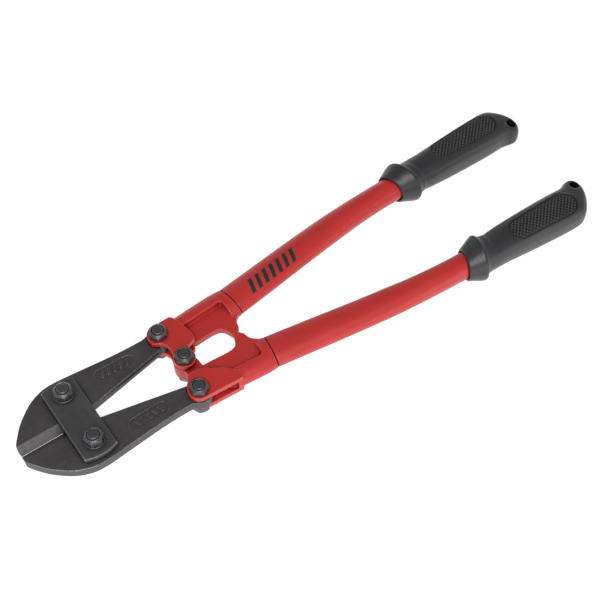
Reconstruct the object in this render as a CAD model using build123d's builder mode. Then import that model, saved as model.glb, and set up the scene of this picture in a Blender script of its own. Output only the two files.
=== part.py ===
from build123d import *
import math
import os

# Centre-cut bolt cutters, 450 mm long, jaws closed. Millimetres, +Z up.
# Tool coordinates used in the sketches: x runs from the jaw noses (0) to the
# grip ends (450), y = 0 is the cutting line, z = 0 is the mid-plane.
# The exported frame has its origin at the centre of the underside box.

os.makedirs("parts", exist_ok=True)

# ---------------------------------------------------------------- dimensions
LENGTH = 450.0            # overall, nose to grip ends
X0 = -LENGTH / 2          # tool x = 0 in the exported frame
Z0 = 16.7                 # mid-plane height above the lowest point

JAW_T = 7.5               # jaw thickness
PIVOT_X, PIVOT_Y = 43.4, 20.6     # jaw pivots
LINK_X, LINK_Y = 119.3, 26.5      # jaw tail to handle pivots
CENTRE_X = 124.1                  # pivot where the two handles meet

BOLT_R = 4.0              # M8 bolts
JAW_BORE_R = 4.08         # running fit on the jaw bolts
YOKE_BORE_R = 4.08        # running fit on the centre bolt
TIGHT_BORE_R = 4.05       # bolts that do not turn in their plates
TAIL_BORE_R = 5.5         # link bore, oversize for the opened linkage
HEX_AF = 12.0
HEAD_T = 5.4

STRAP_X0, STRAP_X1 = 31.0, 55.1
STRAP_R, STRAP_CX = 32.3, 43.2
STRAP_Z0, STRAP_Z1 = 3.95, 7.9

FORK_Z0, FORK_Z1 = 4.0, 8.0       # fork plates
TONGUE_Z = 3.8
WEB_Z = 2.6
LOBE_R = 7.9                # fork plate lobes round the link bolts
TAIL_LOBE_R = 8.5           # jaw tail lobe
CENTRE_LOBE_R = 7.7

SEAM_X, SEAM_Y = 176.5, 25.24     # casting to tube joint
TUBE_SLOPE = math.degrees(math.atan(0.147))
TUBE_A0, TUBE_B0 = 12.5, 6.9      # the round tube is flattened where it meets the casting
TUBE_WALL = 1.6
SPIGOT_A = TUBE_A0 - TUBE_WALL - 0.3
SPIGOT_B = TUBE_B0 - TUBE_WALL - 0.3
SPIGOT_L = 15.0

HANG_X, HANG_Y, HANG_R = 444.0, 37.3, 3.75
LEFT_GRIP_SHIFT = 2.3


def level(z):
    return Plane(origin=(X0, 0, Z0 + z), x_dir=(1, 0, 0), z_dir=(0, 0, 1))


def across(x, y, slope=0.0):
    """Plane facing along a tube; local x is tool +y, local y is +z."""
    a = math.radians(slope)
    return Plane(origin=(X0 + x, y, Z0), x_dir=(-math.sin(a), math.cos(a), 0),
                 z_dir=(math.cos(a), math.sin(a), 0))


# ---------------------------------------------------------------- jaws
JAW_BACK = [(0.0, 6.2), (2.2, 10.2), (5.0, 14.0), (10.0, 20.0), (15.0, 24.5),
            (20.0, 28.5), (25.0, 31.5), (30.0, 33.6), (36.0, 35.1),
            (42.0, 35.4), (50.0, 35.0)]

with BuildPart() as right_jaw:
    with BuildSketch(level(-JAW_T / 2)):
        with BuildLine():
            Line((0.0, 0.03), (0.0, 6.2))
            Spline(*JAW_BACK, tangents=((0.35, 1.0), (1.0, -0.09)))
            Spline((50.0, 35.0), (70.0, 33.2), (90.0, 31.6), (104.0, 31.2), (112.4, 32.4),
                   tangents=((1.0, -0.09), (0.85, 0.62)))
            Line((112.4, 32.4), (LINK_X, LINK_Y))
            Line((LINK_X, LINK_Y), (115.4, 17.6))
            Line((115.4, 17.6), (56.0, 5.4))
            Spline((56.0, 5.4), (44.0, 3.1), (36.5, 1.6), (33.0, 0.03),
                   tangents=((-1.0, -0.2), (-0.4, -1.0)))
            Line((33.0, 0.03), (0.0, 0.03))
        make_face()
        with Locations((LINK_X, LINK_Y)):
            Circle(TAIL_LOBE_R)
    extrude(amount=JAW_T)
    # ground cutting bevels, above and below
    for s in (1, -1):
        with BuildSketch(Plane(origin=(X0 - 1.0, 0, Z0), x_dir=(0, 1, 0), z_dir=(1, 0, 0))):
            Polygon((0.03, 0.0), (6.3, s * JAW_T / 2), (6.3, s * 5.0), (-1.0, s * 5.0),
                    (-1.0, s * 0.0), align=None)
        extrude(amount=35.0, mode=Mode.SUBTRACT)
    # shallow forged panel above and below, with plain slanted ribs left proud
    for s in (1, -1):
        with BuildSketch(level(s * JAW_T / 2)):
            with Locations(Location((82.5, 22.5), -2.0)):
                SlotOverall(29.0, 9.0)
            with Locations(*[Location((73.5 + 4.5 * i, 22.8 - 0.16 * i), 65) for i in range(5)]):
                Rectangle(5.6, 1.7, mode=Mode.SUBTRACT)
        extrude(amount=-s * 0.7, mode=Mode.SUBTRACT)
    # forging line, standing proud of the inner side of the arm
    with BuildSketch(level(-1.3)):
        Polygon((60.0, 7.0), (60.0, 6.2), (84.0, 10.1), (108.0, 14.9), (113.4, 16.5),
                (114.0, 18.0), (86.0, 12.6), align=None)
    extrude(amount=2.6)
    # pivot and link bores
    with BuildSketch(level(-10)):
        with Locations((PIVOT_X, PIVOT_Y)):
            Circle(JAW_BORE_R)
        with Locations((LINK_X, LINK_Y)):
            Circle(TAIL_BORE_R)
    extrude(amount=20, mode=Mode.SUBTRACT)
right_jaw.part.label = "right_jaw"

with BuildPart() as left_jaw:
    add(right_jaw.part)
    mirror(about=Plane.XZ, mode=Mode.REPLACE)
left_jaw.part.label = "left_jaw"

# ---------------------------------------------------------------- straps
with BuildPart() as top_strap:
    with BuildSketch(level(STRAP_Z0)):
        with Locations(((STRAP_X0 + STRAP_X1) / 2, 0)):
            Rectangle(STRAP_X1 - STRAP_X0, 70)
        with Locations((STRAP_CX, 0)):
            Circle(STRAP_R, mode=Mode.INTERSECT)
        with Locations((PIVOT_X, PIVOT_Y), (PIVOT_X, -PIVOT_Y)):
            Circle(TIGHT_BORE_R, mode=Mode.SUBTRACT)
    extrude(amount=STRAP_Z1 - STRAP_Z0)
    corners = top_strap.edges().filter_by(Axis.Z).filter_by(
        lambda e: abs(e.center().Y) > 26)
    fillet(corners, 1.0)
    rim = top_strap.faces().sort_by(Axis.Z)[-1].outer_wire().edges()
    chamfer(rim, 0.5)
top_strap.part.label = "top_strap"

with BuildPart() as bottom_strap:
    add(top_strap.part)
    mirror(about=Plane.XY.offset(Z0), mode=Mode.REPLACE)
bottom_strap.part.label = "bottom_strap"


# ---------------------------------------------------------------- fasteners
def hex_cut(z_low, z_high, x, y, rim_drop):
    """Round cone limits that give a hexagon its chamfered corners."""
    flat = HEX_AF / 2
    corner = HEX_AF / math.sqrt(3)
    return Plane(origin=(X0 + x, y, Z0), x_dir=(1, 0, 0), z_dir=(0, -1, 0)), [
        (0, z_low), (flat - 0.1 if rim_drop < 0 else corner + 0.2, z_low),
        (corner + 0.2, z_low + (abs(rim_drop) if rim_drop < 0 else 0)),
        (corner + 0.2, z_high - (rim_drop if rim_drop > 0 else 0)),
        (flat - 0.1 if rim_drop > 0 else corner + 0.2, z_high), (0, z_high)]


def clean(points):
    out = []
    for p in points:
        if not out or math.dist(p, out[-1]) > 1e-6:
            out.append(p)
    return out


# jaw bolts: hex head below, thread end standing out of the nut above
JAW_HEAD_Z0 = -STRAP_Z1 - HEAD_T
with BuildPart() as right_jaw_bolt:
    with BuildSketch(level(JAW_HEAD_Z0)):
        with Locations((PIVOT_X, PIVOT_Y)):
            RegularPolygon(HEX_AF / 2, 6, major_radius=False, rotation=20)
    extrude(amount=HEAD_T)
    pl, pts = hex_cut(JAW_HEAD_Z0, -STRAP_Z1, PIVOT_X, PIVOT_Y, -1.1)
    with BuildSketch(pl):
        Polygon(*clean(pts), align=None)
    revolve(axis=Axis((X0 + PIVOT_X, PIVOT_Y, 0), (0, 0, 1)), mode=Mode.INTERSECT)
    with BuildSketch(level(-STRAP_Z1)):
        with Locations((PIVOT_X, PIVOT_Y)):
            Circle(BOLT_R)
    extrude(amount=STRAP_Z1 + 16.5)
    tip = right_jaw_bolt.faces().sort_by(Axis.Z)[-1].edges()
    fillet(tip, 1.4)
right_jaw_bolt.part.label = "right_jaw_bolt"

with BuildPart() as left_jaw_bolt:
    add(right_jaw_bolt.part)
    mirror(about=Plane.XZ, mode=Mode.REPLACE)
left_jaw_bolt.part.label = "left_jaw_bolt"

with BuildPart() as right_jaw_washer:
    with BuildSketch(level(STRAP_Z1)):
        with Locations((PIVOT_X, PIVOT_Y)):
            Circle(7.1)
            Circle(4.2, mode=Mode.SUBTRACT)
    extrude(amount=1.7)
    chamfer(right_jaw_washer.faces().sort_by(Axis.Z)[-1].outer_wire().edges(), 0.35)
right_jaw_washer.part.label = "right_jaw_washer"

with BuildPart() as left_jaw_washer:
    add(right_jaw_washer.part)
    mirror(about=Plane.XZ, mode=Mode.REPLACE)
left_jaw_washer.part.label = "left_jaw_washer"

JAW_NUT_Z0, JAW_NUT_Z1 = STRAP_Z1 + 1.7, 15.6
with BuildPart() as right_jaw_nut:
    with BuildSketch(level(JAW_NUT_Z0)):
        with Locations((PIVOT_X, PIVOT_Y)):
            RegularPolygon(HEX_AF / 2, 6, major_radius=False, rotation=12)
    extrude(amount=JAW_NUT_Z1 - JAW_NUT_Z0)
    pl, pts = hex_cut(JAW_NUT_Z0, JAW_NUT_Z1, PIVOT_X, PIVOT_Y, 2.0)
    pts[-2] = (4.7, JAW_NUT_Z1)
    with BuildSketch(pl):
        Polygon(*clean(pts), align=None)
    revolve(axis=Axis((X0 + PIVOT_X, PIVOT_Y, 0), (0, 0, 1)), mode=Mode.INTERSECT)
    with BuildSketch(level(0)):
        with Locations((PIVOT_X, PIVOT_Y)):
            Circle(4.03)
    extrude(amount=20, mode=Mode.SUBTRACT)
    with BuildSketch(level(JAW_NUT_Z1 - 1.1)):
        with Locations((PIVOT_X, PIVOT_Y)):
            Circle(4.4)
    extrude(amount=3, mode=Mode.SUBTRACT)
right_jaw_nut.part.label = "right_jaw_nut"

with BuildPart() as left_jaw_nut:
    add(right_jaw_nut.part)
    mirror(about=Plane.XZ, mode=Mode.REPLACE)
left_jaw_nut.part.label = "left_jaw_nut"

# link bolts: jaw tail to handle fork
LINK_TOP = 13.6
LINK_NUT_Z1 = 13.0
with BuildPart() as right_link_bolt:
    with BuildSketch(level(-FORK_Z1 - HEAD_T)):
        with Locations((LINK_X, LINK_Y)):
            RegularPolygon(HEX_AF / 2, 6, major_radius=False, rotation=8)
    extrude(amount=HEAD_T)
    pl, pts = hex_cut(-FORK_Z1 - HEAD_T, -FORK_Z1, LINK_X, LINK_Y, -1.1)
    with BuildSketch(pl):
        Polygon(*clean(pts), align=None)
    revolve(axis=Axis((X0 + LINK_X, LINK_Y, 0), (0, 0, 1)), mode=Mode.INTERSECT)
    with BuildSketch(level(-FORK_Z1)):
        with Locations((LINK_X, LINK_Y)):
            Circle(BOLT_R)
    extrude(amount=FORK_Z1 + LINK_TOP)
    fillet(right_link_bolt.faces().sort_by(Axis.Z)[-1].edges(), 1.3)
right_link_bolt.part.label = "right_link_bolt"

with BuildPart() as left_link_bolt:
    add(right_link_bolt.part)
    mirror(about=Plane.XZ, mode=Mode.REPLACE)
left_link_bolt.part.label = "left_link_bolt"

with BuildPart() as right_link_nut:
    with BuildSketch(level(FORK_Z1)):
        with Locations((LINK_X, LINK_Y)):
            RegularPolygon(HEX_AF / 2, 6, major_radius=False, rotation=3)
    extrude(amount=LINK_NUT_Z1 - FORK_Z1)
    pl, pts = hex_cut(FORK_Z1, LINK_NUT_Z1, LINK_X, LINK_Y, 2.1)
    pts[-2] = (4.7, LINK_NUT_Z1)
    with BuildSketch(pl):
        Polygon(*clean(pts), align=None)
    revolve(axis=Axis((X0 + LINK_X, LINK_Y, 0), (0, 0, 1)), mode=Mode.INTERSECT)
    with BuildSketch(level(0)):
        with Locations((LINK_X, LINK_Y)):
            Circle(4.03)
    extrude(amount=20, mode=Mode.SUBTRACT)
    with BuildSketch(level(LINK_NUT_Z1 - 1.0)):
        with Locations((LINK_X, LINK_Y)):
            Circle(4.4)
    extrude(amount=3, mode=Mode.SUBTRACT)
right_link_nut.part.label = "right_link_nut"

with BuildPart() as left_link_nut:
    with BuildSketch(level(FORK_Z1)):
        with Locations((LINK_X, -LINK_Y)):
            RegularPolygon(HEX_AF / 2, 6, major_radius=False, rotation=25)
    extrude(amount=LINK_NUT_Z1 - FORK_Z1)
    pl, pts = hex_cut(FORK_Z1, LINK_NUT_Z1, LINK_X, -LINK_Y, 2.1)
    pts[-2] = (4.7, LINK_NUT_Z1)
    with BuildSketch(pl):
        Polygon(*clean(pts), align=None)
    revolve(axis=Axis((X0 + LINK_X, -LINK_Y, 0), (0, 0, 1)), mode=Mode.INTERSECT)
    with BuildSketch(level(0)):
        with Locations((LINK_X, -LINK_Y)):
            Circle(4.03)
    extrude(amount=20, mode=Mode.SUBTRACT)
    with BuildSketch(level(LINK_NUT_Z1 - 1.0)):
        with Locations((LINK_X, -LINK_Y)):
            Circle(4.4)
    extrude(amount=3, mode=Mode.SUBTRACT)
left_link_nut.part.label = "left_link_nut"

# centre bolt: the two handle castings turn on it
CENTRE_GAP = 0.15
with BuildPart() as centre_bolt:
    with BuildSketch(level(-FORK_Z1 - CENTRE_GAP - HEAD_T)):
        with Locations((CENTRE_X, 0)):
            RegularPolygon(HEX_AF / 2, 6, major_radius=False, rotation=15)
    extrude(amount=HEAD_T)
    pl, pts = hex_cut(-FORK_Z1 - CENTRE_GAP - HEAD_T, -FORK_Z1 - CENTRE_GAP, CENTRE_X, 0, -1.1)
    with BuildSketch(pl):
        Polygon(*clean(pts), align=None)
    revolve(axis=Axis((X0 + CENTRE_X, 0, 0), (0, 0, 1)), mode=Mode.INTERSECT)
    with BuildSketch(level(-FORK_Z1 - CENTRE_GAP)):
        with Locations((CENTRE_X, 0)):
            Circle(BOLT_R)
    extrude(amount=FORK_Z1 + CENTRE_GAP + LINK_TOP)
    fillet(centre_bolt.faces().sort_by(Axis.Z)[-1].edges(), 1.3)
centre_bolt.part.label = "centre_bolt"

with BuildPart() as centre_nut:
    with BuildSketch(level(FORK_Z1 + CENTRE_GAP)):
        with Locations((CENTRE_X, 0)):
            RegularPolygon(HEX_AF / 2, 6, major_radius=False, rotation=20)
    extrude(amount=LINK_NUT_Z1 - FORK_Z1 - CENTRE_GAP)
    pl, pts = hex_cut(FORK_Z1 + CENTRE_GAP, LINK_NUT_Z1, CENTRE_X, 0, 2.1)
    pts[-2] = (4.7, LINK_NUT_Z1)
    with BuildSketch(pl):
        Polygon(*clean(pts), align=None)
    revolve(axis=Axis((X0 + CENTRE_X, 0, 0), (0, 0, 1)), mode=Mode.INTERSECT)
    with BuildSketch(level(0)):
        with Locations((CENTRE_X, 0)):
            Circle(4.03)
    extrude(amount=20, mode=Mode.SUBTRACT)
    with BuildSketch(level(LINK_NUT_Z1 - 1.0)):
        with Locations((CENTRE_X, 0)):
            Circle(4.4)
    extrude(amount=3, mode=Mode.SUBTRACT)
centre_nut.part.label = "centre_nut"

# ---------------------------------------------------------------- handle castings
# Web and stop lug, drawn for the +y handle; the other one is its mirror.
BODY = [(133.0, 27.2, 8.3, 6.6), (141.0, 27.2, 8.7, 6.8), (150.0, 27.2, 9.6, 6.9),
        (160.0, 26.8, 10.8, 6.9), (167.0, 25.8, 12.3, 7.0), (171.0, 25.2, 12.9, 7.1)]
WEB_EDGE = [(141.0, 9.2), (147.0, 9.7), (152.0, 9.9), (155.0, 9.7), (158.0, 8.9),
            (160.4, 6.6), (162.0, 3.2), (162.7, 1.0)]
LUG_BACK = [(168.0, 1.0), (169.4, 2.8), (170.4, 6.6), (171.7, 9.2), (174.2, 11.6), (176.0, 12.9)]
STOP_GAP = 0.1


def web_line(s):
    Spline(*[(x, s * y) for x, y in WEB_EDGE], tangents=((1.0, s * 0.1), (0.3, -s * 1.0)))
    Line((162.7, s * 1.0), (163.4, s * STOP_GAP))
    Line((163.4, s * STOP_GAP), (167.2, s * STOP_GAP))
    Line((167.2, s * STOP_GAP), (168.0, s * 1.0))
    Spline(*[(x, s * y) for x, y in LUG_BACK], tangents=((0.35, s * 1.0), (1.0, s * 0.75)))
    Line((176.0, s * 12.9), (176.0, s * 24.0))


with BuildPart() as right_yoke:
    # round socket body, growing from the fork to the full tube size
    for x, y, a, b in BODY:
        with BuildSketch(across(x, y)):
            Ellipse(a, b)
    loft()
    with BuildSketch(across(BODY[-1][0], BODY[-1][1])):
        Ellipse(BODY[-1][2], BODY[-1][3])
    with BuildSketch(across(SEAM_X, SEAM_Y, TUBE_SLOPE)):
        Ellipse(TUBE_A0 + 0.35, TUBE_B0 + 0.25)
    loft()
    # web and stop lug
    with BuildSketch(level(-WEB_Z)):
        with BuildLine():
            Line((137.0, 28.0), (137.0, 9.0))
            Line((137.0, 9.0), (141.0, 9.2))
            web_line(1)
            Line((176.0, 24.0), (137.0, 28.0))
        make_face()
    extrude(amount=2 * WEB_Z)
    # stepped panel, above and below
    for s in (1, -1):
        with BuildSketch(level(s * WEB_Z)):
            Polygon((136.0, 5.0), (136.0, 23.7), (168.0, 26.1), (169.4, 24.8), (171.2, 5.0), align=None)
        with BuildSketch(level(s * 12.0)):
            Polygon((136.0, 5.0), (136.0, 24.9), (168.8, 27.3), (170.9, 25.5), (172.7, 5.0), align=None)
        loft(mode=Mode.SUBTRACT)
    # fork plates
    with BuildSketch(level(-FORK_Z1)):
        with BuildLine():
            Line((LINK_X, LINK_Y), (111.5, 22.3))
            Spline((111.5, 22.3), (113.4, 20.6), (116.2, 19.4), (118.6, 17.1), (119.9, 13.5),
                   (119.6, 9.0), (118.3, 4.8), (117.0, 2.0),
                   tangents=((0.75, -0.8), (-0.4, -1.0)))
            Line((117.0, 2.0), (CENTRE_X, 0))
            Line((CENTRE_X, 0), (130.9, 3.0))
            Line((130.9, 3.0), (131.2, 7.0))
            Spline((131.2, 7.0), (134.4, 8.0), (137.6, 9.4), (138.7, 11.8), (138.4, 18.0),
                   (137.2, 25.0), (135.4, 31.2), (133.6, 33.9), (131.0, 34.6),
                   tangents=((1.0, 0.2), (-1.0, 0.0)))
            Line((131.0, 34.6), (121.0, 34.3))
            Line((121.0, 34.3), (LINK_X, LINK_Y))
        make_face()
        with Locations((LINK_X, LINK_Y)):
            Circle(LOBE_R)
        with Locations((CENTRE_X, 0)):
            Circle(CENTRE_LOBE_R)
    extrude(amount=2 * FORK_Z1)
    # slot for the jaw tail and for the tongue of the other handle
    with BuildSketch(level(-FORK_Z0)):
        Polygon((100, -20), (150, -20), (150, 5.0), (139.5, 8.6), (136.5, 10.6), (133.8, 15.0),
                (132.6, 21.0), (132.4, 45), (100, 45), align=None)
    extrude(amount=2 * FORK_Z0, mode=Mode.SUBTRACT)
    # spigot inside the tube
    with BuildSketch(across(SEAM_X, SEAM_Y, TUBE_SLOPE)):
        Ellipse(SPIGOT_A, SPIGOT_B)
    extrude(amount=SPIGOT_L)
    # bolt holes
    with BuildSketch(level(-20)):
        with Locations((LINK_X, LINK_Y)):
            Circle(TIGHT_BORE_R)
        with Locations((CENTRE_X, 0)):
            Circle(YOKE_BORE_R)
    extrude(amount=40, mode=Mode.SUBTRACT)
right_yoke.part.label = "right_yoke"

with BuildPart() as left_yoke:
    for x, y, a, b in BODY[1:]:
        with BuildSketch(across(x, -y)):
            Ellipse(a, b)
    loft()
    with BuildSketch(across(BODY[-1][0], -BODY[-1][1])):
        Ellipse(BODY[-1][2], BODY[-1][3])
    with BuildSketch(across(SEAM_X, -SEAM_Y, -TUBE_SLOPE)):
        Ellipse(TUBE_A0 + 0.35, TUBE_B0 + 0.25)
    loft()
    # web and stop lug, running forward to the tongue
    with BuildSketch(level(-WEB_Z)):
        with BuildLine():
            Line((132.4, -8.9), (141.0, -9.2))
            web_line(-1)
            Line((176.0, -24.0), (140.0, -30.0))
            Line((140.0, -30.0), (130.4, -23.0))
            Spline((130.4, -23.0), (127.4, -18.2), (124.2, -15.9), (120.8, -14.9),
                   tangents=((-0.4, 1.0), (-1.0, 0.1)))
            Line((120.8, -14.9), (120.6, -8.0))
            Line((120.6, -8.0), (132.4, -8.9))
        make_face()
    extrude(amount=2 * WEB_Z)
    for s in (1, -1):
        with BuildSketch(level(s * WEB_Z)):
            Polygon((136.0, -5.0), (136.0, -23.7), (168.0, -26.1), (169.4, -24.8), (171.2, -5.0), align=None)
        with BuildSketch(level(s * 12.0)):
            Polygon((136.0, -5.0), (136.0, -24.9), (168.8, -27.3), (170.9, -25.5), (172.7, -5.0), align=None)
        loft(mode=Mode.SUBTRACT)
    # fork plates round the link bolt
    with BuildSketch(level(-FORK_Z1)):
        with BuildLine():
            Line((LINK_X, -LINK_Y), (113.2, -19.9))
            Spline((113.2, -19.9), (115.6, -17.6), (117.4, -14.8), (119.2, -12.8), (122.0, -11.8),
                   (126.0, -12.2), (132.0, -15.2), (138.0, -19.2), (144.0, -23.6), (148.4, -28.4),
                   (150.0, -33.6), tangents=((0.7, 0.75), (0.1, -1.0)))
            Line((150.0, -33.6), (148.2, -35.4))
            Line((148.2, -35.4), (121.0, -34.3))
            Line((121.0, -34.3), (LINK_X, -LINK_Y))
        make_face()
        with Locations((LINK_X, -LINK_Y)):
            Circle(LOBE_R)
    extrude(amount=2 * FORK_Z1)
    # slot for the jaw tail, open towards the outside
    with BuildSketch(level(-FORK_Z0)):
        Polygon((100, -10.0), (112.0, -13.0), (118.0, -15.0), (122.6, -15.6), (127.6, -18.0),
                (130.6, -22.4), (132.0, -26.0), (138.0, -29.2), (144.6, -33.0), (144.6, -45),
                (100, -45), align=None)
    extrude(amount=2 * FORK_Z0, mode=Mode.SUBTRACT)
    # the lower fork plate is trimmed close round the bolt head
    with BuildSketch(level(-FORK_Z1 - 0.1)):
        Polygon((108.0, -20.5), (113.2, -20.5), (113.0, -26.5), (119.3, -26.5), (121.9, -32.9),
                (121.9, -37.0), (108.0, -37.0), align=None)
        with Locations((LINK_X, -LINK_Y)):
            Circle(6.4, mode=Mode.SUBTRACT)
    extrude(amount=4.2, mode=Mode.SUBTRACT)
    # circular pocket that clears the other casting's fork plates
    for s in (1, -1):
        with BuildSketch(level(s * TONGUE_Z)):
            with Locations((CENTRE_X, 0)):
                Circle(9.6)
        extrude(amount=s * 8.0, mode=Mode.SUBTRACT)
    # tongue
    with BuildSketch(level(-TONGUE_Z)):
        Polygon((118.4, -2.0), (131.9, -2.0), (132.4, -9.4), (134.0, -13.4), (120.8, -13.4), align=None)
        with Locations((CENTRE_X, 0)):
            Circle(8.0)
    extrude(amount=2 * TONGUE_Z)
    with BuildSketch(across(SEAM_X, -SEAM_Y, -TUBE_SLOPE)):
        Ellipse(SPIGOT_A, SPIGOT_B)
    extrude(amount=SPIGOT_L)
    with BuildSketch(level(-20)):
        with Locations((LINK_X, -LINK_Y)):
            Circle(TIGHT_BORE_R)
        with Locations((CENTRE_X, 0)):
            Circle(YOKE_BORE_R)
    extrude(amount=40, mode=Mode.SUBTRACT)
left_yoke.part.label = "left_yoke"

# ---------------------------------------------------------------- tubes
AXIS_PTS = [(176.5, 25.24), (190.0, 27.2), (220.0, 31.65), (250.0, 36.0), (270.0, 38.6),
            (290.0, 40.85), (305.0, 42.1), (320.0, 43.0), (340.0, 43.7), (370.0, 44.4),
            (426.0, 45.2)]
TUBE_A = [TUBE_A0, 12.4, 12.0, 11.4, 11.0, 10.2, 9.8, 9.55, 9.5, 9.5, 9.5]
TUBE_B = [TUBE_B0, 7.0, 7.5, 8.2, 8.7, 9.2, 9.4, 9.55, 9.5, 9.5, 9.5]


def slope_at(i):
    if i == 0:
        return TUBE_SLOPE
    a = AXIS_PTS[max(i - 1, 0)]
    b = AXIS_PTS[min(i + 1, len(AXIS_PTS) - 1)]
    return math.degrees(math.atan2(b[1] - a[1], b[0] - a[0]))


with BuildPart() as right_tube:
    for i, (x, y) in enumerate(AXIS_PTS):
        with BuildSketch(across(x, y, slope_at(i))):
            Ellipse(TUBE_A[i], TUBE_B[i])
    loft()
    for i, (x, y) in enumerate(AXIS_PTS):
        with BuildSketch(across(x, y, slope_at(i))):
            Ellipse(TUBE_A[i] - TUBE_WALL, TUBE_B[i] - TUBE_WALL)
    loft(mode=Mode.SUBTRACT)
right_tube.part.label = "right_tube"

with BuildPart() as left_tube:
    add(right_tube.part)
    mirror(about=Plane.XZ, mode=Mode.REPLACE)
left_tube.part.label = "left_tube"

# ---------------------------------------------------------------- grips
# stations: x, centre y, half width, half height
GRIP = [(355.0, 44.4, 13.1, 12.6), (366.0, 44.6, 13.3, 12.7), (385.0, 45.1, 14.1, 13.0),
        (405.0, 45.7, 14.9, 13.2), (424.0, 46.1, 15.4, 13.1), (433.0, 45.8, 15.0, 12.4),
        (439.0, 44.4, 14.1, 11.9), (443.5, 42.4, 12.2, 11.0), (447.0, 40.3, 9.4, 9.6),
        (449.2, 38.6, 6.2, 7.4), (450.0, 37.8, 3.6, 5.0)]
COLLAR_X0, COLLAR_RIDGE, COLLAR_END = 331.5, 346.0, 355.0

with BuildPart() as grip_blank:
    for x, y, w, h in GRIP:
        with BuildSketch(across(x, y)):
            Ellipse(w, h)
    loft()
    # flared collar ahead of the hand
    with BuildSketch(across(COLLAR_X0, 43.6)):
        Circle(11.2)
    with BuildSketch(across(COLLAR_RIDGE - 1.2, 43.9)):
        Circle(16.7)
    loft(ruled=True)
    with BuildSketch(across(COLLAR_RIDGE - 1.2, 43.9)):
        Circle(16.7)
    with BuildSketch(across(COLLAR_RIDGE + 1.0, 44.0)):
        Circle(16.2)
    with BuildSketch(across(COLLAR_RIDGE + 4.5, 44.2)):
        Circle(13.7)
    with BuildSketch(across(COLLAR_END, 44.4)):
        Ellipse(13.1, 12.6)
    loft(ruled=True)
    # shallow grip pads above and below
    for s in (1, -1):
        with BuildSketch(level(s * 12.0)):
            with Locations(Location((403.5, 46.3), 2.0)):
                SlotOverall(59.0, 17.0)
        extrude(amount=s * 6.0, mode=Mode.SUBTRACT)
    # hanging hole
    with BuildSketch(level(-20)):
        with Locations((HANG_X, HANG_Y)):
            Circle(HANG_R)
    extrude(amount=40, mode=Mode.SUBTRACT)

with BuildPart() as right_grip:
    add(grip_blank.part)
    # bore for the tube
    for i, (x, y) in enumerate(AXIS_PTS[7:]):
        with BuildSketch(across(x, y, slope_at(i + 7))):
            Ellipse(TUBE_A[i + 7], TUBE_B[i + 7])
    loft(mode=Mode.SUBTRACT)
right_grip.part.label = "right_grip"

# the left grip is pushed a little further on to its tube
with BuildPart() as left_grip:
    add(Location((-LEFT_GRIP_SHIFT, 0, 0)) * mirror(grip_blank.part, about=Plane.XZ, mode=Mode.PRIVATE))
    # bore for the tube
    for i, (x, y) in enumerate(AXIS_PTS[7:]):
        with BuildSketch(across(x, -y, -slope_at(i + 7))):
            Ellipse(TUBE_A[i + 7], TUBE_B[i + 7])
    loft(mode=Mode.SUBTRACT)
left_grip.part.label = "left_grip"

# ---------------------------------------------------------------- export
export_step(top_strap.part, "parts/top_strap.step")
export_step(bottom_strap.part, "parts/bottom_strap.step")
export_step(right_jaw.part, "parts/right_jaw.step")
export_step(left_jaw.part, "parts/left_jaw.step")
export_step(right_jaw_bolt.part, "parts/right_jaw_bolt.step")
export_step(left_jaw_bolt.part, "parts/left_jaw_bolt.step")
export_step(right_jaw_washer.part, "parts/right_jaw_washer.step")
export_step(left_jaw_washer.part, "parts/left_jaw_washer.step")
export_step(right_jaw_nut.part, "parts/right_jaw_nut.step")
export_step(left_jaw_nut.part, "parts/left_jaw_nut.step")
export_step(right_link_bolt.part, "parts/right_link_bolt.step")
export_step(left_link_bolt.part, "parts/left_link_bolt.step")
export_step(right_link_nut.part, "parts/right_link_nut.step")
export_step(left_link_nut.part, "parts/left_link_nut.step")
export_step(centre_bolt.part, "parts/centre_bolt.step")
export_step(centre_nut.part, "parts/centre_nut.step")
export_step(right_yoke.part, "parts/right_yoke.step")
export_step(left_yoke.part, "parts/left_yoke.step")
export_step(right_tube.part, "parts/right_tube.step")
export_step(left_tube.part, "parts/left_tube.step")
export_step(right_grip.part, "parts/right_grip.step")
export_step(left_grip.part, "parts/left_grip.step")
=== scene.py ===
import math

import bmesh
import bpy
import numpy as np
from mathutils import Matrix, Vector


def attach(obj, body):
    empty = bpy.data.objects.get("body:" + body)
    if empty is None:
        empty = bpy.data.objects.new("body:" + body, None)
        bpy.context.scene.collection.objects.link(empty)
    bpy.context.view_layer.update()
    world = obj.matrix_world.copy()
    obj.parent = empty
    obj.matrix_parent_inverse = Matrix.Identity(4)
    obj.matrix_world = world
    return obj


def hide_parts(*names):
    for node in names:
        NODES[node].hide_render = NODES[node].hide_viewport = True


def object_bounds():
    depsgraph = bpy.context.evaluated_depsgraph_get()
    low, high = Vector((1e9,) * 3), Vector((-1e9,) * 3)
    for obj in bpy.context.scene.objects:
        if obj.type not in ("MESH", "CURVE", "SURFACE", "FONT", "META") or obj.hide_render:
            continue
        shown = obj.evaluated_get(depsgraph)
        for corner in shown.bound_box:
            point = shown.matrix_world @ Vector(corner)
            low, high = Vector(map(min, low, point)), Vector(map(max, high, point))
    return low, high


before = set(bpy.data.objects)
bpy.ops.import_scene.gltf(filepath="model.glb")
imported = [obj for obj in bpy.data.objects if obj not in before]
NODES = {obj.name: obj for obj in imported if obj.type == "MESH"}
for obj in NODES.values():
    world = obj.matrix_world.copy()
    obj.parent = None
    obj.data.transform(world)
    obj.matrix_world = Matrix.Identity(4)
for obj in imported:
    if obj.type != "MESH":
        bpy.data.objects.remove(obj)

CAD_LO, CAD_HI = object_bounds()
X0 = CAD_LO.x * 1000.0                       # tool x = 0 in the frame, mm
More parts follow.
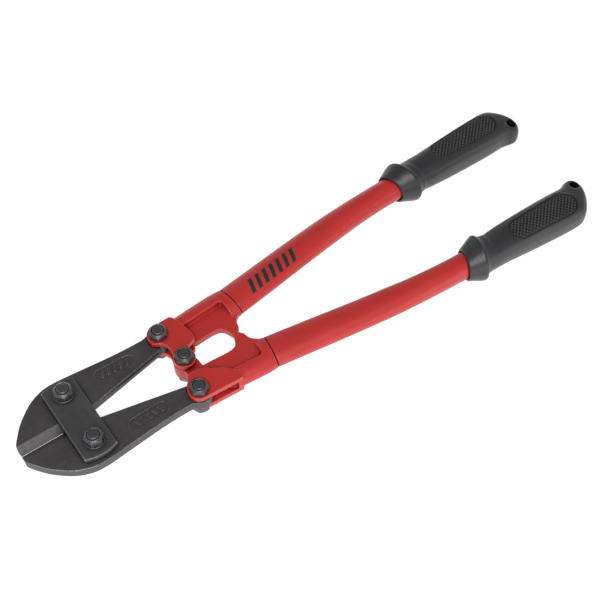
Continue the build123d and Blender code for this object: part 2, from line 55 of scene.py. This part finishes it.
ZM = (CAD_LO.z + CAD_HI.z) * 500.0           # mid-plane height, mm
RNG = np.random.default_rng(7)


def T(p):
    """Tool millimetres (x from the jaw noses, z from the mid-plane) to the frame in metres."""
    p = np.asarray(p, float)
    out = p.copy()
    out[..., 0] = (p[..., 0] + X0) / 1000.0
    out[..., 1] = p[..., 1] / 1000.0
    out[..., 2] = (p[..., 2] + ZM) / 1000.0
    return out


# ---------------------------------------------------------------- node helpers
class Tree:
    def __init__(self, name):
        self.mat = bpy.data.materials.new(name)
        self.mat.use_nodes = True
        self.nt = self.mat.node_tree
        self.nt.nodes.clear()
        self.out = self.nt.nodes.new("ShaderNodeOutputMaterial")
        self.bsdf = self.nt.nodes.new("ShaderNodeBsdfPrincipled")
        self.link(self.bsdf.outputs[0], self.out.inputs[0])
        tc = self.nt.nodes.new("ShaderNodeTexCoord")
        self.obj = tc.outputs["Object"]

    def link(self, a, b):
        self.nt.links.new(a, b)

    def put(self, v, socket):
        if hasattr(v, "is_output"):
            self.link(v, socket)
        elif isinstance(v, (tuple, list)):
            socket.default_value = (*v, 1.0) if len(v) == 3 and len(socket.default_value) == 4 else v
        else:
            socket.default_value = v

    def mapping(self, scale=(1, 1, 1), rot=(0, 0, 0), loc=(0, 0, 0)):
        m = self.nt.nodes.new("ShaderNodeMapping")
        m.inputs["Scale"].default_value = scale
        m.inputs["Rotation"].default_value = rot
        m.inputs["Location"].default_value = loc
        self.link(self.obj, m.inputs["Vector"])
        return m.outputs[0]

    def noise(self, scale, detail=3.0, rough=0.55, vec=None, dist=0.0):
        n = self.nt.nodes.new("ShaderNodeTexNoise")
        n.inputs["Scale"].default_value = scale
        n.inputs["Detail"].default_value = detail
        n.inputs["Roughness"].default_value = rough
        n.inputs["Distortion"].default_value = dist
        self.link(vec if vec is not None else self.obj, n.inputs["Vector"])
        return n.outputs["Fac"]

    def voronoi(self, scale, vec=None, feature="F1"):
        n = self.nt.nodes.new("ShaderNodeTexVoronoi")
        n.feature = feature
        n.inputs["Scale"].default_value = scale
        self.link(vec if vec is not None else self.obj, n.inputs["Vector"])
        return n.outputs["Distance"]

    def math(self, op, a, b=0.0, clamp=False):
        n = self.nt.nodes.new("ShaderNodeMath")
        n.operation = op
        n.use_clamp = clamp
        self.put(a, n.inputs[0])
        self.put(b, n.inputs[1])
        return n.outputs[0]

    def ramp(self, v, lo, hi, a=0.0, b=1.0):
        n = self.nt.nodes.new("ShaderNodeMapRange")
        n.interpolation_type = "SMOOTHSTEP"
        n.inputs["From Min"].default_value = lo
        n.inputs["From Max"].default_value = hi
        n.inputs["To Min"].default_value = a
        n.inputs["To Max"].default_value = b
        self.put(v, n.inputs["Value"])
        return n.outputs[0]

    def mix(self, f, a, b):
        n = self.nt.nodes.new("ShaderNodeMix")
        n.data_type = "RGBA"
        self.put(f, n.inputs[0])
        self.put(a, n.inputs[6])
        self.put(b, n.inputs[7])
        return n.outputs[2]

    def pointiness(self):
        g = self.nt.nodes.new("ShaderNodeNewGeometry")
        return g.outputs["Pointiness"]

    def shade(self, reach, dark):
        """Painted shade: darker where neighbouring surfaces close in, standing in for the light lost in crevices."""
        n = self.nt.nodes.new("ShaderNodeAmbientOcclusion")
        n.samples = 8
        n.inputs["Distance"].default_value = reach
        return self.ramp(n.outputs["AO"], 0.28, 0.88, dark, 1.0)

    def bump(self, height, strength, distance, under=None):
        n = self.nt.nodes.new("ShaderNodeBump")
        n.inputs["Strength"].default_value = strength
        n.inputs["Distance"].default_value = distance
        self.put(height, n.inputs["Height"])
        if under is not None:
            self.link(under, n.inputs["Normal"])
        return n.outputs[0]

    def xyz(self):
        s = self.nt.nodes.new("ShaderNodeSeparateXYZ")
        self.link(self.obj, s.inputs[0])
        return s.outputs

    def set(self, **kw):
        for k, v in kw.items():
            self.put(v, self.bsdf.inputs[k.replace("_", " ")])


def dark_steel(name, base, edge, rough=0.5, metallic=0.45, wear=0.5, grain=1.0, ground=False, rub=None):
    t = Tree(name)
    big = t.noise(45.0, 3.0, 0.6)
    mid = t.noise(260.0, 4.0, 0.65)
    fine = t.noise(1500.0, 3.0, 0.7)
    c1 = tuple(c * 0.86 for c in base)
    c2 = tuple(min(1, c * 1.16) for c in base)
    col = t.mix(t.ramp(big, 0.3, 0.7), c1, c2)
    col = t.mix(t.math("MULTIPLY", t.ramp(mid, 0.52, 0.72), 0.35), col, tuple(c * 1.5 for c in base))
    col = t.mix(t.math("MULTIPLY", t.ramp(fine, 0.62, 0.8), 0.25), col, tuple(c * 0.55 for c in base))
    r = t.ramp(t.math("ADD", t.math("MULTIPLY", mid, 0.6), t.math("MULTIPLY", fine, 0.4)), 0.3, 0.7,
               rough - 0.07, rough + 0.08)
    # rubbed bright along the outer edges, broken up by noise
    p = t.ramp(t.pointiness(), 0.511, 0.550)
    patch = t.ramp(t.noise(330.0, 4.0, 0.7), 0.36, 0.62)
    if rub:
        # handled edges: the patches of bright metal run together there
        x, y, z = t.xyz()
        side = rub(t, x, y)
        patch = t.math("MAXIMUM", t.math("MULTIPLY", patch, 0.55),
                       t.math("MULTIPLY", side, t.ramp(t.noise(210.0, 4.0, 0.7), 0.28, 0.46)))
    w = t.math("MULTIPLY", t.math("MULTIPLY", p, patch), wear, clamp=True)
    if ground:
        # the cutting edges themselves stay dark
        x, y, z = t.xyz()
        w = t.math("MULTIPLY", w, t.ramp(t.math("ABSOLUTE", y), 0.0012, 0.0026))
        # and only the rims of the outline are rubbed, not the flanks between them
        rim = t.math("ABSOLUTE", t.math("SUBTRACT", z, ZM / 1000.0))
        w = t.math("MULTIPLY", w, t.ramp(rim, 0.0020, 0.0030))
    col = t.mix(w, col, edge)
    r = t.math("SUBTRACT", r, t.math("MULTIPLY", w, 0.14), clamp=True)
    # painted shade: hollows and creases (low pointiness) darken towards a deeper tone of the base
    hollow_shade = t.ramp(t.pointiness(), 0.42, 0.495, 1.0, 0.0)
    col = t.mix(t.math("MULTIPLY", hollow_shade, 0.5), col, tuple(c * 0.45 for c in base))
    if ground:
        # the cutting bevels are ground: lighter, with fine lines across the edge
        x, y, z = t.xyz()
        ay = t.math("ABSOLUTE", y)
        near = t.ramp(ay, 0.0058, 0.0064, 1.0, 0.0)
        front = t.ramp(x, X0 / 1000.0 + 0.033, X0 / 1000.0 + 0.034, 1.0, 0.0)
        g = t.math("MULTIPLY", near, front)
        lines = t.noise(1.0, 2.0, 0.5, t.mapping(scale=(2600.0, 90.0, 90.0), rot=(0, 0, 0.06)))
        gcol = t.mix(t.ramp(lines, 0.3, 0.7), tuple(c * 1.12 for c in base), tuple(c * 1.34 for c in base))
        col = t.mix(t.math("MULTIPLY", g, 0.9), col, gcol)
    b = t.bump(mid, 0.28 * grain, 0.00022)
    b = t.bump(fine, 0.22 * grain, 0.00008, b)
    # painted shade: ambient occlusion darkens the colour towards near-black and dims the specular in crevices and
    # under overhanging parts
    painted_shade = t.shade(0.010, 0.08)
    col = t.mix(painted_shade, (0.004, 0.004, 0.004), col)
    t.set(Base_Color=col, Roughness=r, Metallic=metallic, Normal=b)
    t.put(t.math("MULTIPLY", painted_shade, 0.75), t.bsdf.inputs["Specular IOR Level"])
    return t.mat


def strap_rub(t, x, y):
    # the long edge towards the noses and the rounded end on the user's left
    a = t.ramp(x, (X0 + 37.0) / 1000.0, (X0 + 41.0) / 1000.0, 1.0, 0.0)
    b = t.ramp(y, -0.027, -0.022, 1.0, 0.0)
    return t.math("MAXIMUM", a, b)


def jaw_rub(t, x, y):
    # outer edge of the left jaw between the nose and the pivot
    a = t.ramp(y, -0.012, -0.008, 1.0, 0.0)
    b = t.ramp(x, (X0 + 34.0) / 1000.0, (X0 + 40.0) / 1000.0, 1.0, 0.0)
    return t.math("MULTIPLY", a, b)


def red_paint(name, cast=False):
    t = Tree(name)
    base = (0.53, 0.028, 0.024)
    # painted shade colour for creases and hollows
    shaded_red = (0.27, 0.004, 0.006)
    big = t.noise(28.0, 2.0, 0.5)
    col = t.mix(t.ramp(big, 0.3, 0.72), base, (0.495, 0.024, 0.021))
    dust = t.noise(900.0, 4.0, 0.75)
    col = t.mix(t.math("MULTIPLY", t.ramp(dust, 0.6, 0.8), 0.10), col, (0.56, 0.052, 0.047))
    p = t.pointiness()
    # painted shade: creases and hollows (low pointiness) turn a deep shaded red
    crease_shade = t.ramp(p, 0.40, 0.492, 1.0, 0.0)
    col = t.mix(t.math("MULTIPLY", crease_shade, 0.75), col, shaded_red)
    if cast:
        # painted highlight: convex edges of the casting turn a lighter pink
        edge = t.ramp(p, 0.508, 0.555)
        col = t.mix(t.math("MULTIPLY", edge, 0.7), col, (0.60, 0.14, 0.125))
        # a few rubbed-through specks on exposed edges
        speck = t.math("MULTIPLY", t.ramp(t.noise(520.0, 4.0, 0.8), 0.665, 0.70), t.ramp(p, 0.535, 0.58))
        col = t.mix(t.math("MULTIPLY", speck, 0.75), col, (0.10, 0.075, 0.07))
    orange = t.noise(420.0 if cast else 300.0, 3.0, 0.5)
    grit = t.noise(1700.0, 3.0, 0.6)
    r = t.ramp(t.math("ADD", t.math("MULTIPLY", orange, 0.5), t.math("MULTIPLY", grit, 0.5)), 0.3, 0.7,
               0.36 if cast else 0.36, 0.50 if cast else 0.46)
    b = t.bump(orange, 0.30 if cast else 0.10, 0.00018)
    b = t.bump(grit, 0.16 if cast else 0.05, 0.00006, b)
    # painted shade: ambient occlusion darkens the red towards near-black and dims the specular in crevices and under
    # overhanging parts
    painted_shade = t.shade(0.008, 0.05)
    col = t.mix(painted_shade, (0.10, 0.0015, 0.002), col)
    t.set(Base_Color=col, Roughness=r, Normal=b)
    t.put(t.math("MULTIPLY", painted_shade, 0.5), t.bsdf.inputs["Specular IOR Level"])
    t.bsdf.inputs["Coat Weight"].default_value = 0.06
    t.bsdf.inputs["Coat Roughness"].default_value = 0.22
    return t.mat


def moulded(name, base, rough, grain=1.0):
    t = Tree(name)
    big = t.noise(38.0, 3.0, 0.55)
    fine = t.noise(1300.0, 4.0, 0.7)
    col = t.mix(t.ramp(big, 0.3, 0.7), tuple(c * 0.92 for c in base), tuple(c * 1.1 for c in base))
    dustm = t.math("MULTIPLY", t.ramp(t.noise(170.0, 5.0, 0.8), 0.56, 0.8), 0.22)
    col = t.mix(dustm, col, tuple(c * 1.6 for c in base))
    p = t.pointiness()
    # painted highlight: convex edges lighter
    col = t.mix(t.math("MULTIPLY", t.ramp(p, 0.51, 0.57), 0.30), col, tuple(min(1, c * 2.0) for c in base))
    # painted shade: creases and hollows darker
    col = t.mix(t.math("MULTIPLY", t.ramp(p, 0.42, 0.49, 1.0, 0.0), 0.55), col, tuple(c * 0.45 for c in base))
    r = t.ramp(fine, 0.3, 0.7, rough - 0.05, rough + 0.07)
    b = t.bump(t.noise(700.0, 4.0, 0.6), 0.16 * grain, 0.00012)
    b = t.bump(fine, 0.20 * grain, 0.00006, b)
    t.set(Base_Color=col, Roughness=r, Normal=b)
    t.bsdf.inputs["Specular IOR Level"].default_value = 0.45
    return t.mat


M_JAW = dark_steel("jaw_forged_steel", (0.066, 0.061, 0.063), (0.50, 0.49, 0.50), 0.52, 0.42, 0.8, 1.0, True, jaw_rub)
M_STRAP = dark_steel("strap_black_oxide", (0.072, 0.072, 0.075), (0.72, 0.71, 0.72), 0.48, 0.45, 1.0, 0.8, False, strap_rub)
M_FAST = dark_steel("fastener_black_zinc", (0.074, 0.073, 0.078), (0.55, 0.54, 0.56), 0.38, 0.5, 0.5, 0.5)
M_CAST = red_paint("red_enamel_casting", True)
M_TUBE = red_paint("red_enamel_tube", False)
M_GRIP = moulded("grip_moulded", (0.033, 0.032, 0.035), 0.36)
M_PAD = moulded("grip_pad_knurled", (0.018, 0.018, 0.019), 0.48, 0.7)
# painted shade: near-black red for the seam groove
M_SEAM_SHADE = moulded("seam_shadow", (0.030, 0.004, 0.004), 0.6, 0.5)
# painted shade: near-black, almost unreflective rubber inside the hanging hole stands in for the shade in the bore
M_BORE_SHADE = moulded("grip_bore_dark", (0.003, 0.003, 0.003), 0.8, 0.5)
M_BORE_SHADE.node_tree.nodes["Principled BSDF"].inputs["Specular IOR Level"].default_value = 0.08
M_PRINT = moulded("printed_black", (0.021, 0.022, 0.022), 0.42, 0.4)


# ---------------------------------------------------------------- CAD nodes that stay
def soften(node, mat, voxel, repeat, factor=0.5):
    o = NODES[node]
    o.data.materials.clear()
    o.data.materials.append(mat)
    r = o.modifiers.new("remesh", "REMESH")
    r.mode = "VOXEL"
    r.voxel_size = voxel
    r.use_smooth_shade = True
    if repeat:
        s = o.modifiers.new("smooth", "SMOOTH")
        s.factor = factor
        s.iterations = repeat


Q = 1.0
for n in ("right_jaw", "left_jaw"):
    soften(n, M_JAW, 0.00018 * Q, 1)
for n in ("top_strap", "bottom_strap"):
    soften(n, M_STRAP, 0.00022 * Q, 2)
for n in ("right_yoke", "left_yoke"):
    soften(n, M_CAST, 0.00030 * Q, 5)
for n in NODES:
    if n.endswith(("_bolt", "_nut", "_washer")):
        soften(n, M_FAST, 0.00016 * Q, 2)


# ---------------------------------------------------------------- mesh helpers
def pchip(xs, ys, x):
    xs, ys, x = np.asarray(xs, float), np.asarray(ys, float), np.asarray(x, float)
    h = np.diff(xs)
    d = np.diff(ys) / h
    m = np.zeros_like(ys)
    m[0], m[-1] = d[0], d[-1]
    for i in range(1, len(xs) - 1):
        if d[i - 1] * d[i] > 0:
            w1, w2 = 2 * h[i] + h[i - 1], h[i] + 2 * h[i - 1]
            m[i] = (w1 + w2) / (w1 / d[i - 1] + w2 / d[i])
    k = np.clip(np.searchsorted(xs, x) - 1, 0, len(xs) - 2)
    t = (x - xs[k]) / h[k]
    return ((2 * t**3 - 3 * t**2 + 1) * ys[k] + (t**3 - 2 * t**2 + t) * h[k] * m[k]
            + (-2 * t**3 + 3 * t**2) * ys[k + 1] + (t**3 - t**2) * h[k] * m[k + 1])


def natural(xs, ys, x):
    """Natural cubic spline."""
    xs, ys = np.asarray(xs, float), np.asarray(ys, float)
    n = len(xs)
    h = np.diff(xs)
    A = np.eye(n)
    b = np.zeros(n)
    for i in range(1, n - 1):
        A[i, i - 1], A[i, i], A[i, i + 1] = h[i - 1], 2 * (h[i - 1] + h[i]), h[i]
        b[i] = 3 * ((ys[i + 1] - ys[i]) / h[i] - (ys[i] - ys[i - 1]) / h[i - 1])
    c = np.linalg.solve(A, b)
    k = np.clip(np.searchsorted(xs, x) - 1, 0, n - 2)
    t = x - xs[k]
    bb = (ys[k + 1] - ys[k]) / h[k] - h[k] * (2 * c[k] + c[k + 1]) / 3
    dd = (c[k + 1] - c[k]) / (3 * h[k])
    return ys[k] + bb * t + c[k] * t**2 + dd * t**3


def smooth01(a, b, v):
    t = np.clip((v - a) / (b - a), 0, 1)
    return t * t * (3 - 2 * t)


def ring_mesh(name, rings, mat, smooth=True):
    """Closed skin through rings of points (stations, around, 3), tool mm; both ends capped."""
    rings = np.asarray(rings, float)
    s, n = rings.shape[:2]
    verts = T(rings.reshape(-1, 3)).tolist()
    c0 = T(rings[0].mean(0)).tolist()
    c1 = T(rings[-1].mean(0)).tolist()
    verts += [c0, c1]
    faces = []
    for i in range(s - 1):
        a = i * n
        for j in range(n):
            k = (j + 1) % n
            faces.append((a + j, a + k, a + n + k, a + n + j))
    for j in range(n):
        k = (j + 1) % n
        faces.append((s * n, k, j))
        faces.append((s * n + 1, (s - 1) * n + j, (s - 1) * n + k))
    me = bpy.data.meshes.new(name)
    me.from_pydata(verts, [], faces)
    me.materials.append(mat)
    bm = bmesh.new()
    bm.from_mesh(me)
    bmesh.ops.recalc_face_normals(bm, faces=bm.faces)
    bm.to_mesh(me)
    bm.free()
    me.polygons.foreach_set("use_smooth", [smooth] * len(me.polygons))
    o = bpy.data.objects.new(name, me)
    bpy.context.scene.collection.objects.link(o)
    return o


def apply_mods(o):
    dg = bpy.context.evaluated_depsgraph_get()
    me = bpy.data.meshes.new_from_object(o.evaluated_get(dg))
    o.modifiers.clear()
    o.data = me
    return o


# ---------------------------------------------------------------- tubes
AX = [176.5, 190.0, 220.0, 250.0, 270.0, 290.0, 305.0, 320.0, 340.0, 370.0, 426.0]
AY = [25.24, 27.2, 31.65, 36.0, 38.6, 40.85, 42.1, 43.0, 43.7, 44.4, 45.2]
AA = [12.5, 12.4, 12.0, 11.4, 11.0, 10.2, 9.8, 9.55, 9.5, 9.5, 9.5]     # half-width, square to the axis
AB = [6.9, 7.0, 7.5, 8.2, 8.7, 9.2, 9.4, 9.55, 9.5, 9.5, 9.5]            # half-height


def axis_y(x):
    return natural(AX, AY, np.asarray(x, float))


def axis_dir(x):
    e = 0.5
    x = np.asarray(x, float)
    a, b = np.clip(x - e, AX[0], AX[-1]), np.clip(x + e, AX[0], AX[-1])
    dy = (axis_y(b) - axis_y(a)) / (b - a)
    return np.stack([np.ones_like(dy), dy, 0 * dy], -1) / np.sqrt(1 + dy**2)[..., None]


def tube_size(x):
    return float(pchip(AX, AA, [x])[0]), float(pchip(AX, AB, [x])[0])


def tube_ring(x, dr, side, n=112):
    x = np.array([x], float)
    d = axis_dir(x)[0]
    c = np.array([x[0], axis_y(x)[0], 0.0])
    u = np.array([-d[1], d[0], 0.0])
    a = np.linspace(0, 2 * np.pi, n, endpoint=False)
    ra, rb = tube_size(x[0])
    p = c + (ra + dr) * np.cos(a)[:, None] * u + (rb + dr) * np.sin(a)[:, None] * np.array([0, 0, 1.0])
    p[:, 1] *= side
    return p


def make_tube(name, side):
    rings = []
    x0 = AX[0]
    for dx, dr in ((2.4, -1.5), (0.12, -1.45), (0.12, -0.75), (0.78, -0.75), (0.80, -0.30), (0.95, -0.10), (1.25, -0.02)):
        rings.append(tube_ring(x0 + dx, dr, side))
    for x in np.arange(x0 + 1.8, 425.0, 1.6):
        rings.append(tube_ring(x, 0.0, side))
    o = ring_mesh(name, rings, M_TUBE)
    # painted shade: the groove faces against the casting get a near-black red, standing in for the shadow in the seam
    o.data.materials.append(M_SEAM_SHADE)
    for k in range(4 * 112):
        o.data.polygons[k].material_index = 1
    return o


for side, who in ((1, "right"), (-1, "left")):
    o = make_tube(who + "_tube_skin", side)
    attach(o, who + "_handle")
    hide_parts(who + "_tube")


# plain slanted bars printed on one tube, on the side that faces the user
def make_print():
    verts, faces = [], []
    bars = [(191.0, 3.3), (197.4, 3.3), (203.8, 3.3), (210.2, 3.3), (216.6, 3.3), (223.0, 3.3), (229.4, 3.3)]
    lean = 4.2
    a0, a1 = math.radians(78), math.radians(132)        # round the tube: 90 is the top, 180 the inner side
    nu, nv = 6, 18
    for x, w in bars:
        base = len(verts)
        for i in range(nu + 1):
            for j in range(nv + 1):
                f = j / nv
                xx = x + w * i / nu + lean * (1 - f)
                ra, rb = tube_size(xx)
                d = axis_dir(np.array([xx]))[0]
                c = np.array([xx, axis_y(np.array([xx]))[0], 0.0])
                u = np.array([-d[1], d[0], 0.0])
                a = a0 + (a1 - a0) * f
                verts.append(c + (ra + 0.045) * math.cos(a) * u + (rb + 0.045) * math.sin(a) * np.array([0, 0, 1.0]))
        for i in range(nu):
            for j in range(nv):
                a = base + i * (nv + 1) + j
                faces.append((a, a + nv + 1, a + nv + 2, a + 1))
    me = bpy.data.meshes.new("printed_bars")
    me.from_pydata(T(np.array(verts)).tolist(), [], faces)
    me.materials.append(M_PRINT)
    me.polygons.foreach_set("use_smooth", [True] * len(me.polygons))
    o = bpy.data.objects.new("printed_bars", me)
    bpy.context.scene.collection.objects.link(o)
    s = o.modifiers.new("thick", "SOLIDIFY")
    s.thickness = 0.00008
    s.offset = 0.0
    return o


bars = make_print()
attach(bars, "right_handle")

# ---------------------------------------------------------------- grips
HANG = (444.0, 37.3, 3.75)
#        x      inner  outer  height  squareness
BODY = [(356.0, 31.5, 57.2, 12.6, 2.15), (365.0, 31.15, 57.2, 12.6, 2.35), (375.0, 31.0, 57.7, 12.8, 2.55),
        (385.0, 30.95, 58.4, 13.0, 2.7), (400.0, 30.85, 59.6, 13.1, 2.8), (415.0, 30.85, 60.7, 13.1, 2.8),
        (425.0, 31.0, 61.2, 13.0, 2.8), (430.5, 31.4, 61.25, 12.85, 2.85), (434.0, 31.5, 60.9, 12.6, 2.9),
        (437.0, 30.9, 59.9, 12.1, 3.0), (440.0, 29.7, 57.6, 11.6, 3.1), (442.5, 29.1, 54.9, 11.2, 3.15),
        (445.0, 29.3, 51.6, 10.7, 3.1), (447.0, 30.3, 48.2, 10.0, 2.95), (448.4, 31.8, 45.2, 8.9, 2.75),
        (449.3, 33.3, 42.8, 7.4, 2.5), (449.8, 34.9, 40.9, 5.4, 2.3), (450.0, 36.6, 39.2, 2.8, 2.0)]
COLLAR = [(331.5, 11.2), (332.2, 11.75), (336.0, 13.25), (340.0, 14.75), (343.6, 16.05), (345.0, 16.55),
          (345.8, 16.62), (346.4, 16.35), (347.2, 15.2), (348.3, 14.35), (350.2, 13.75), (352.8, 13.35)]


def grip_param(x):
    xs = [c[0] for c in COLLAR] + [b[0] for b in BODY]
    cy = [float(axis_y(np.array([c[0]]))[0]) for c in COLLAR] + [(b[1] + b[2]) / 2 for b in BODY]
    w = [c[1] for c in COLLAR] + [(b[2] - b[1]) / 2 for b in BODY]
    h = [c[1] for c in COLLAR] + [b[3] for b in BODY]
    n = [2.0] * len(COLLAR) + [b[4] for b in BODY]
    return [pchip(xs, v, x) for v in (cy, w, h, n)]


def superellipse(w, h, n, count):
    t = np.linspace(0, 2 * np.pi, 721)
    y = w * np.sign(np.cos(t)) * np.abs(np.cos(t)) ** (2 / n)
    z = h * np.sign(np.sin(t)) * np.abs(np.sin(t)) ** (2 / n)
    s = np.concatenate([[0], np.cumsum(np.hypot(np.diff(y), np.diff(z)))])
    q = np.linspace(0, s[-1], count, endpoint=False)
    return np.interp(q, s, y), np.interp(q, s, z)


PAD = ((382.6, 46.4, 8.5), (424.4, 47.3, 10.2))    # ends of the knurled pad: x, y, radius


def pad_distance(x, y):
    (xa, ya, ra), (xb, yb, rb) = PAD
    dx, dy = xb - xa, yb - ya
    t = np.clip(((x - xa) * dx + (y - ya) * dy) / (dx * dx + dy * dy), 0, 1)
    return np.hypot(x - xa - t * dx, y - ya - t * dy) - (ra + (rb - ra) * t)


def knurl(x, y):
    p = 3.3
    u = (x + y) / p
    v = (x - y) / p
    tu = 1 - np.abs(2 * (u - np.floor(u)) - 1)
    tv = 1 - np.abs(2 * (v - np.floor(v)) - 1)
    return np.clip(np.minimum(tu, tv) * 1.7 - 0.12, 0, 1)


LEFT_SHIFT = 2.3       # the left grip sits further on to its tube


def make_grip(name, side):
    shift = 0.0 if side > 0 else LEFT_SHIFT
    count = 300
    step = 0.32
    xs = np.concatenate([np.arange(331.5, 333.0, 0.2), np.arange(333.0, 371.0, 0.4),
                         np.arange(371.0, 438.0, step), np.arange(438.0, 446.0, 0.3),
                         450.0 - 4.0 * (1 - np.sin(np.linspace(0, np.pi / 2, 26)))])
    cy, w, h, n = grip_param(xs)
    rings = []
    # inside of the open front rim
    for x, r in ((341.0, 9.3), (340.0, 9.62), (336.0, 9.75), (332.4, 10.15), (331.7, 10.45), (331.35, 10.75), (331.36, 11.0)):
        yy, zz = superellipse(r, r, 2.0, count)
        rings.append(np.stack([np.full(count, x), yy + float(axis_y(np.array([x]))[0]), zz], 1))
    for i, x in enumerate(xs):
        yy, zz = superellipse(w[i], h[i], n[i], count)
        rings.append(np.stack([np.full(count, x), yy + cy[i], zz], 1))
    rings = np.array(rings)
    X, Y, Z = rings[..., 0], rings[..., 1], rings[..., 2]
    # the collar leans: its outer side stands further forward than its inner side
    mid = axis_y(np.clip(X, AX[0], AX[-1]))
    rr = np.hypot(Y - mid, Z) + 1e-9
    fade = 1 - smooth01(349.5, 367.0, X)
    ridge = smooth01(333.0, 344.0, X)
    X2 = X + fade * ((1.1 - 1.6 * ridge) - (3.4 + 0.6 * ridge) * (Y - mid) / rr)
    # pads, top and bottom
    d = pad_distance(X, Y)
    face = smooth01(0.35, 0.75, np.abs(Z) / 13.0)
    inside = smooth01(0.25, -0.45, d) * face
    bumps = smooth01(-0.5, -1.1, d) * knurl(X, Y)
    Z2 = Z - np.sign(Z) * inside * (0.95 - 0.85 * bumps)
    # softened mouth of the hanging hole
    dh = np.hypot(X - HANG[0], Y - HANG[1]) - HANG[2]
    Z2 = Z2 - np.sign(Z) * 0.55 * (1 - smooth01(-0.2, 1.5, dh)) * (X > 430)
    # the knob is a little shallower below than above
    Z2 = np.where(Z2 < 0, Z2 * (1 - 0.17 * smooth01(434.0, 442.0, X)), Z2)
    rings = np.stack([X2 - shift * smooth01(352.0, 384.0, X), Y * side, Z2], -1)
    o = ring_mesh(name, rings, M_GRIP)
    o.data.materials.append(M_PAD)
    o.data.materials.append(M_BORE_SHADE)
    # hanging hole
    me = bpy.data.meshes.new(name + "_cut")
    bm = bmesh.new()
    bmesh.ops.create_cone(bm, cap_ends=True, segments=64, radius1=HANG[2] / 1000, radius2=HANG[2] / 1000, depth=0.05)
    bm.to_mesh(me)
    bm.free()
    for _ in range(3):
        me.materials.append(M_BORE_SHADE)
    me.polygons.foreach_set("material_index", [2] * len(me.polygons))
    cut = bpy.data.objects.new(name + "_cut", me)
    bpy.context.scene.collection.objects.link(cut)
    cut.location = Vector(T([HANG[0] - shift, HANG[1] * side, 0.0]).tolist())
    bpy.context.view_layer.update()
    b = o.modifiers.new("hole", "BOOLEAN")
    b.operation = "DIFFERENCE"
    b.solver = "EXACT"
    b.object = cut
    apply_mods(o)
    bpy.data.objects.remove(cut)
    me = o.data
    # darker rubber inside the pads
    cen = np.zeros(len(me.polygons) * 3)
    me.polygons.foreach_get("center", cen)
    cen = cen.reshape(-1, 3) * 1000
    px, py, pz = cen[:, 0] - X0 + shift, cen[:, 1] * side, cen[:, 2] - ZM
    idx = np.zeros(len(me.polygons), int)
    me.polygons.foreach_get("material_index", idx)
    dd = pad_distance(px, py)
    idx[(dd < 0.05) & (np.abs(pz) > 8.0) & (px > 370) & (px < 436)] = 1
    me.polygons.foreach_set("material_index", idx.tolist())
    me.polygons.foreach_set("use_smooth", [True] * len(me.polygons))
    me.update()
    return o


for side, who in ((1, "right"), (-1, "left")):
    o = make_grip(who + "_grip_skin", side)
    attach(o, who + "_handle")
    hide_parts(who + "_grip")


# ---------------------------------------------------------------- studio
me = bpy.data.meshes.new("floor")
bm = bmesh.new()
bmesh.ops.create_grid(bm, x_segments=8, y_segments=8, size=6.0)
bm.to_mesh(me)
bm.free()
floor = bpy.data.objects.new("floor", me)
bpy.context.scene.collection.objects.link(floor)
floor.location = (0, 0, CAD_LO.z - 0.0002)
ft = Tree("floor_white")
ft.set(Base_Color=(0.5, 0.5, 0.5), Roughness=0.8)
ft.bsdf.inputs["Emission Color"].default_value = (1, 1, 1, 1)
ft.bsdf.inputs["Emission Strength"].default_value = 0.80
me.materials.append(ft.mat)

# studio surround: bright low down, darker overhead and on the far side
world = bpy.data.worlds.new("studio")
bpy.context.scene.world = world
world.use_nodes = True
wn = world.node_tree
bg = wn.nodes["Background"]
tc = wn.nodes.new("ShaderNodeTexCoord")
sep = wn.nodes.new("ShaderNodeSeparateXYZ")
wn.links.new(tc.outputs["Generated"], sep.inputs[0])
up = wn.nodes.new("ShaderNodeMapRange")
up.interpolation_type = "SMOOTHSTEP"
for k, v in (("From Min", 0.0), ("From Max", 0.75), ("To Min", 0.95), ("To Max", 0.20)):
    up.inputs[k].default_value = v
wn.links.new(sep.outputs[2], up.inputs["Value"])
wn.links.new(up.outputs[0], bg.inputs["Strength"])
bg.inputs["Color"].default_value = (1, 1, 1, 1)


def area(name, at, look, size, power, color=(1, 1, 1)):
    l = bpy.data.lights.new(name, "AREA")
    l.shape = "RECTANGLE"
    l.size, l.size_y = size
    l.energy = power
    l.color = color
    o = bpy.data.objects.new(name, l)
    bpy.context.scene.collection.objects.link(o)
    o.location = at
    o.rotation_euler = (Vector(look) - Vector(at)).to_track_quat("-Z", "Y").to_euler()
    return o


MID = (CAD_LO + CAD_HI) / 2
area("key_near", MID + Vector((-0.55, -0.80, 1.35)), MID, (1.0, 0.8), 18.5)
area("front_strip", MID + Vector((0.10, -1.30, 0.16)), MID, (2.0, 0.22), 2.5)

cam_data = bpy.data.cameras.new("camera")
cam = bpy.data.objects.new("camera", cam_data)
bpy.context.scene.collection.objects.link(cam)
cam_data.sensor_width = 36.0
cam_data.lens = 72.81
cam_data.clip_end = 20.0
target = Vector(T([218.4, -0.9, 0.0]).tolist())
el, az, dist = math.radians(54.76), math.radians(34.88), 0.8550
cam.location = target + dist * Vector((-math.sin(az) * math.cos(el), -math.cos(az) * math.cos(el), math.sin(el)))
cam.rotation_euler = (target - cam.location).to_track_quat("-Z", "Y").to_euler()
bpy.context.scene.camera = cam
bpy.context.scene.view_settings.view_transform = "Standard"
bpy.context.scene.view_settings.look = "None"
